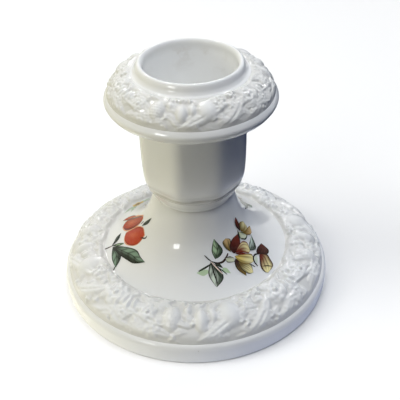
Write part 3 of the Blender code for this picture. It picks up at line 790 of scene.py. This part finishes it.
class Nodes:
    """Short calls for building the node tree of a material or of the world."""

    def __init__(self, owner, shader="Principled BSDF", place="Object"):
        owner.use_nodes = True
        self.owner = owner
        self.tree = owner.node_tree
        self.shader = self.tree.nodes[shader]
        self.place = self.tree.nodes.new("ShaderNodeTexCoord").outputs[place]

    def fill(self, socket, value):
        """Links or sets one input."""
        if isinstance(value, bpy.types.NodeSocket):
            self.tree.links.new(value, socket)
        else:
            socket.default_value = (*value, 1.0) if socket.type == "RGBA" else value

    def add(self, kind, inputs, output, **settings):
        """A new node with its inputs linked or set; gives back one of its outputs."""
        node = self.tree.nodes.new(kind)
        for key, value in settings.items():
            setattr(node, key, value)
        for key, value in inputs.items():
            self.fill(node.inputs[key], value)
        return node.outputs[output]

    def shade(self, inputs):
        """Links or sets the shader's inputs; gives back the material or world."""
        for key, value in inputs.items():
            self.fill(self.shader.inputs[key], value)
        return self.owner

    def axis(self, letter):
        """One coordinate of the place."""
        return self.add("ShaderNodeSeparateXYZ", {0: self.place}, letter)

    def from_middle(self):
        """Distance from the vertical axis."""
        flat = self.add("ShaderNodeVectorMath", {0: self.place, 1: (1.0, 1.0, 0.0)}, 0, operation="MULTIPLY")
        return self.add("ShaderNodeVectorMath", {0: flat}, "Value", operation="LENGTH")

    def noise(self, scale, detail=3.0, rough=0.5):
        return self.add("ShaderNodeTexNoise", {"Vector": self.place, "Scale": scale, "Detail": detail,
                                               "Roughness": rough}, "Fac")

    def remap(self, value, low, high, to_low=0.0, to_high=1.0, kind="LINEAR"):
        return self.add("ShaderNodeMapRange", {"Value": value, "From Min": low, "From Max": high,
                                               "To Min": to_low, "To Max": to_high},
                        "Result", interpolation_type=kind)

    def mottle(self, scale, detail, low, high):
        """Soft patches between 0 and 1."""
        return self.remap(self.noise(scale, detail), low, high)

    def mix(self, share, first, second):
        return self.add("ShaderNodeMix", {0: share, 6: first, 7: second}, 2, data_type="RGBA")

    def times(self, first, *factors):
        for factor in factors:
            first = self.add("ShaderNodeMath", {0: first, 1: factor}, 0, operation="MULTIPLY")
        return first

    def attribute(self, name, output):
        return self.add("ShaderNodeAttribute", {}, output, attribute_name=name)

    def ray(self, kind):
        return self.add("ShaderNodeLightPath", {}, kind)

    def bump(self, height, distance, strength, under=None):
        inputs = {"Distance": distance, "Strength": strength, "Height": height}
        if under is not None:
            inputs["Normal"] = under
        return self.add("ShaderNodeBump", inputs, "Normal")


def material_nodes(name):
    return Nodes(bpy.data.materials.new(name))


WHITE = (0.795, 0.795, 0.775)
COOL_WHITE = (0.765, 0.775, 0.775)
SPECK = (0.30, 0.27, 0.22)
SMUDGE = (0.42, 0.36, 0.27)
# Painted light: a lighter white for the socket's inside and for the lit copy of the body glaze
PAINTED_LIGHT_WHITE = (0.90, 0.905, 0.895)
DUST = (0.40, 0.36, 0.27)
# Painted shade for the hollows between the garland's raised shapes
RECESS_SHADE = (0.56, 0.55, 0.51)
PRINT_MOTTLE = (0.55, 0.53, 0.48)
BARE_PALE = (0.70, 0.69, 0.66)
BARE_GREY = (0.58, 0.56, 0.52)
GLAZE_IOR = 1.52
SPECK_RARITY = 0.985
SPECKS_PER_METRE = 170.0
SPECK_SIZE = 0.035


def add_specks(nodes, colour):
    """A few tiny iron specks under the glaze."""
    cell = {"Vector": nodes.place, "Scale": SPECKS_PER_METRE}
    tone = nodes.add("ShaderNodeTexVoronoi", cell, "Color")
    red = nodes.add("ShaderNodeSeparateColor", {"Color": tone}, "Red")
    chosen = nodes.add("ShaderNodeMath", {0: red, 1: SPECK_RARITY}, 0, operation="GREATER_THAN")
    distance = nodes.add("ShaderNodeTexVoronoi", cell, "Distance")
    close = nodes.remap(distance, SPECK_SIZE, SPECK_SIZE * 2.2, 0.55, 0.0)
    return nodes.mix(nodes.times(chosen, close), colour, SPECK)


def finish_glaze(nodes, colour, ripple=0.00003, coat=0.25, gloss=0.5):
    """Clear glossy glaze with slight waves and a little uneven gloss."""
    waves = nodes.bump(nodes.noise(120.0, 2.0), ripple * 4.0, 0.35)
    return nodes.shade({
        "Base Color": colour,
        "Roughness": nodes.remap(nodes.noise(160.0, 4.0), 0.3, 0.7, 0.04, 0.10),
        "Normal": nodes.bump(nodes.noise(1400.0, 2.0), ripple * 0.4, 0.3, waves),
        "IOR": GLAZE_IOR, "Specular IOR Level": gloss, "Coat Weight": coat, "Coat Roughness": 0.03})


def add_socket_light_and_dirt(nodes, colour):
    """Painted light in the socket, faint smudges in the mouth and brown dust in the steps under the cup."""
    height = nodes.axis("Z")
    inside = nodes.remap(nodes.from_middle(), 0.0158, 0.0154)
    above_floor = nodes.remap(height, 0.0550, 0.0555)
    # Painted light: the socket's inside, above its floor, is mixed toward a lighter white
    socket_painted_light = nodes.mix(nodes.times(inside, above_floor), colour, PAINTED_LIGHT_WHITE)
    patches = nodes.remap(nodes.noise(150.0, 5.0, 0.65), 0.52, 0.70)
    high = nodes.remap(height, 0.078, 0.086, 0.0, 0.32)
    below_rim = nodes.remap(height, 0.0895, 0.0885)
    at_back = nodes.remap(nodes.axis("Y"), 0.004, 0.012)
    smudged = nodes.mix(nodes.times(patches, high, below_rim, inside, at_back), socket_painted_light, SMUDGE)
    above = nodes.remap(height, 0.0425, 0.0431)
    below = nodes.remap(height, 0.0456, 0.0448, 0.0, 0.30)
    broken = nodes.remap(nodes.noise(220.0, 4.0), 0.4, 0.6, 0.35, 1.0)
    return nodes.mix(nodes.times(above, below, broken), smudged, DUST)


def body_glaze(name, painted_light_share):
    """White glaze over the body with a share of painted light; foot and collar take the lighter copy, the
    cup's darker copy is painted shade.
    """
    nodes = material_nodes(name)
    colour = nodes.mix(nodes.mottle(28.0, 4.0, 0.35, 0.65), WHITE, COOL_WHITE)
    # Painted light: a share of lighter white mixed into this copy of the glaze
    colour = nodes.mix(painted_light_share, colour, PAINTED_LIGHT_WHITE)
    return finish_glaze(nodes, add_specks(nodes, add_socket_light_and_dirt(nodes, colour)))


def relief_glaze():
    """Painted shade: the glaze is a shade darker between the raised shapes."""
    nodes = material_nodes("relief_glaze")
    depth = nodes.attribute("relief_height", "Fac")
    colour = nodes.mix(nodes.mottle(34.0, 4.0, 0.35, 0.65), WHITE, COOL_WHITE)
    # Painted shade: mixed in where the relief is low
    recess_shaded = nodes.mix(nodes.remap(depth, 0.4, 1.7, 0.6, 0.0), colour, RECESS_SHADE)
    return finish_glaze(nodes, add_specks(nodes, recess_shaded), 0.00006)


def bare_porcelain():
    """The unglazed ring that the foot stands on."""
    nodes = material_nodes("bare_porcelain")
    return nodes.shade({"Base Color": nodes.mix(nodes.mottle(90.0, 5.0, 0.3, 0.7), BARE_PALE, BARE_GREY),
                        "Roughness": nodes.remap(nodes.noise(300.0), 0.3, 0.7, 0.55, 0.8),
                        "Normal": nodes.bump(nodes.noise(2500.0, 4.0), 0.00003, 0.6)})


def print_colours(name):
    """Fired colour: painted tone with a fine mottle, under a weaker gloss."""
    nodes = material_nodes(name)
    paint = nodes.attribute("paint", "Color")
    mottle = nodes.remap(nodes.noise(900.0, 4.0, 0.7), 0.3, 0.7)
    colour = nodes.mix(mottle, paint, nodes.mix(0.05, paint, PRINT_MOTTLE))
    return finish_glaze(nodes, colour, 0.00002, 0.0, 0.2)


# ---- pieces

def mark_bare_ring(item):
    """The flat faces of the foot ring take the second material."""
    for face in item.data.polygons:
        if face.center.z < 0.25 * MM and face.normal.z < -0.8:
            face.material_index = 1


def register(item, node, *materials):
    """Dresses a piece and lets it stand for its node."""
    for material in materials:
        item.data.materials.append(material)
    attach(item, "root")
    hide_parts(node)


chance = np.random.default_rng(SEED)
# The foot and collar take the lighter copy of the glaze: painted light
lit_white_glaze = body_glaze("lit_white_glaze", 0.18)
garland_glaze = relief_glaze()

foot = revolve("foot_body", foot_profile(), neck_ridges)
register(foot, "foot", lit_white_glaze, bare_porcelain())
mark_bare_ring(foot)

# The cup takes the darker copy of the glaze: painted shade under the collar
register(revolve("cup_body", cup_profile(), cup_shape), "candle_cup", body_glaze("shaded_cup_glaze", 0.0))
register(revolve("collar_body", collar_profile()), "drip_collar", lit_white_glaze)

foot_relief = make_relief("foot_relief", foot_band_points(), 4, 1.0, 0.0, 0.235, 0.95, 2.6, chance)
register(foot_relief, "foot_garland", garland_glaze)

collar_relief = make_relief("collar_relief", collar_band_points(), 3, 0.78, -4.0, 0.175, 0.55, 1.6, chance)
register(collar_relief, "collar_garland", garland_glaze)

for maker, node in ((make_fruit_spray, "fruit_transfer"), (make_blossom_spray, "blossom_transfer"),
                    (make_small_flower, "small_flower_transfer"), (make_leaf_sprig, "leaf_sprig_transfer")):
    spray_piece = maker()
    register(spray_piece, node, print_colours(spray_piece.name + "_print"))


# ---- stage, light and camera

STAGE_MIDDLE = 0.04


def stage_point(azimuth, rise, distance):
    """A point seen from the piece's middle at an azimuth and elevation in degrees."""
    turn, lift = math.radians(azimuth), math.radians(rise)
    return (distance * math.sin(turn) * math.cos(lift), -distance * math.cos(turn) * math.cos(lift),
            STAGE_MIDDLE + distance * math.sin(lift))


# What the floor gives back to the piece, at its left and right: close to the foot, then further out
FLOOR_BOUNCE = [((0.86, 0.84, 0.75), (0.50, 0.53, 0.64)), ((0.50, 0.48, 0.38), (0.004, 0.012, 0.042))]
FLOOR_TONE = 0.665
FLOOR_GLOW = 0.02
BACKDROP = 0.9
PURE = (1.0, 1.0, 1.0)
CEILING = (0.62, 0.63, 0.66)
# Position on the ramp from left to right, with its tone
WORLD_SIDES = [(0.05, (0.46, 0.43, 0.33)), (0.75, (0.014, 0.026, 0.075)), (0.42, (0.060, 0.060, 0.058))]


def make_floor():
    """A plain pale floor. What it gives back to the piece is bright at the left and dim at the right."""
    bpy.ops.mesh.primitive_circle_add(vertices=96, radius=30.0, fill_type="NGON", location=(0.0, 0.0, 0.0))
    floor = bpy.context.object
    floor.name = "floor"
    nodes = material_nodes("pale_floor")
    across = nodes.remap(nodes.axis("X"), -0.05, 0.022)
    rings = [nodes.mix(across, left, right) for left, right in FLOOR_BOUNCE]
    bounce = nodes.mix(nodes.remap(nodes.from_middle(), 0.058, 0.078), *rings)
    seen = nodes.ray("Is Camera Ray")
    tone = nodes.mix(seen, bounce, (FLOOR_TONE, FLOOR_TONE, FLOOR_TONE))
    floor.data.materials.append(nodes.shade({
        "Base Color": tone, "Roughness": 0.9, "Specular IOR Level": 0.1,
        "Emission Color": PURE, "Emission Strength": nodes.times(seen, FLOOR_GLOW)}))


def add_light(name, azimuth, rise, distance, size, brightness, colour, diffuse=True, glossy=True):
    """An area light; brightness is the tone it gives a white surface that faces it."""
    light = bpy.data.lights.new(name, "AREA")
    light.shape = "RECTANGLE"
    light.size, light.size_y = size
    light.energy = brightness * (math.pi * distance) ** 2
    light.color = colour
    item = bpy.data.objects.new(name, light)
    item.location = stage_point(azimuth, rise, distance)
    inward = Vector((0.0, 0.0, STAGE_MIDDLE)) - item.location
    item.rotation_euler = inward.to_track_quat("-Z", "Y").to_euler()
    item.visible_diffuse = diffuse
    item.visible_glossy = glossy
    bpy.context.scene.collection.objects.link(item)
    return item


def light_only_floor(item):
    """Keeps a light off the piece; it draws the piece's long soft shadow on the floor."""
    chosen = bpy.data.collections.new("floor_only")
    chosen.objects.link(bpy.data.objects["floor"])
    item.light_linking.receiver_collection = chosen


# Name, azimuth, elevation, distance and size in metres, brightness, colour
BODY_LIGHTS = [("dome", 0.0, 90.0, 1.5, (1.7, 1.7), 0.57, PURE),
               ("front_top", 5.0, 66.0, 1.5, (0.7, 0.7), 0.14, PURE),
               ("right_top", 78.0, 67.0, 1.5, (0.5, 0.5), 0.13, (0.74, 0.86, 1.0)),
               ("back_top", 168.0, 50.0, 1.5, (0.9, 0.9), 0.24, (0.96, 0.98, 1.0)),
               ("left_fill", -85.0, 12.0, 1.2, (0.9, 0.4), 0.21, (1.0, 0.96, 0.70))]
SHADOW_LIGHTS = [("long_shadow", -82.0, 42.0, 1.2, (0.5, 0.5), 0.46, PURE),
                 ("side_shadow", -42.0, 38.0, 1.2, (0.7, 0.7), 0.36, PURE)]
# Small panes seen only as glints: azimuth, elevation, size in metres, brightness
GLINTS = [(-40.0, 25.0, (0.22, 0.16), 0.11), (165.0, 52.0, (0.05, 0.05), 0.06),
          (-160.0, 58.0, (0.05, 0.05), 0.06), (118.0, 60.0, (0.04, 0.06), 0.06),
          (-112.0, 62.0, (0.05, 0.04), 0.06), (141.0, 45.0, (0.04, 0.06), 0.06),
          (-138.0, 44.0, (0.06, 0.04), 0.06), (180.0, 36.0, (0.06, 0.04), 0.06)]


def make_world():
    """A cream side on the left, a dim blue side on the right and a pale ceiling."""
    nodes = Nodes(bpy.data.worlds.new("studio"), "Background", "Generated")
    bpy.context.scene.world = nodes.owner
    across = nodes.remap(nodes.axis("X"), -1.0, 1.0)
    sideways = nodes.add("ShaderNodeValToRGB", {"Fac": across}, "Color")
    stops = sideways.node.color_ramp.elements
    for index, (position, tone) in enumerate(WORLD_SIDES):
        stop = stops[index] if index < 2 else stops.new(position)
        stop.position = position
        stop.color = (*tone, 1.0)
    upward = nodes.remap(nodes.axis("Z"), 0.6, 1.0, kind="SMOOTHSTEP")
    sky = nodes.mix(upward, sideways, CEILING)
    behind = nodes.remap(nodes.axis("Y"), 0.25, 0.75, 0.0, BACKDROP, "SMOOTHSTEP")
    reflected = nodes.times(nodes.ray("Is Glossy Ray"), behind)
    nodes.shade({"Color": nodes.mix(reflected, sky, PURE)})


def make_camera():
    """A tele lens close to the piece, looking 36 degrees down."""
    data = bpy.data.cameras.new("camera")
    data.sensor_width = 36.0
    data.lens = 71.5
    data.clip_start = 0.01
    camera = bpy.data.objects.new("camera", data)
    camera.location = (0.0, -0.2369, 0.2050)
    pitch, yaw, roll = math.radians(35.92), math.radians(0.52), math.radians(-1.35)
    turn = (Matrix.Rotation(-yaw, 3, "Z") @ Matrix.Rotation(0.5 * math.pi - pitch, 3, "X")
            @ Matrix.Rotation(roll, 3, "Z"))
    camera.rotation_euler = turn.to_euler()
    bpy.context.scene.collection.objects.link(camera)
    bpy.context.scene.camera = camera


make_floor()
make_world()
for settings in BODY_LIGHTS:
    add_light(*settings, glossy=False)
for settings in SHADOW_LIGHTS:
    light_only_floor(add_light(*settings, glossy=False))
for azimuth, rise, size, brightness in GLINTS:
    add_light("pane", azimuth, rise, 1.0, size, brightness, PURE, diffuse=False)
make_camera()
bpy.context.scene.view_settings.view_transform = "Standard"
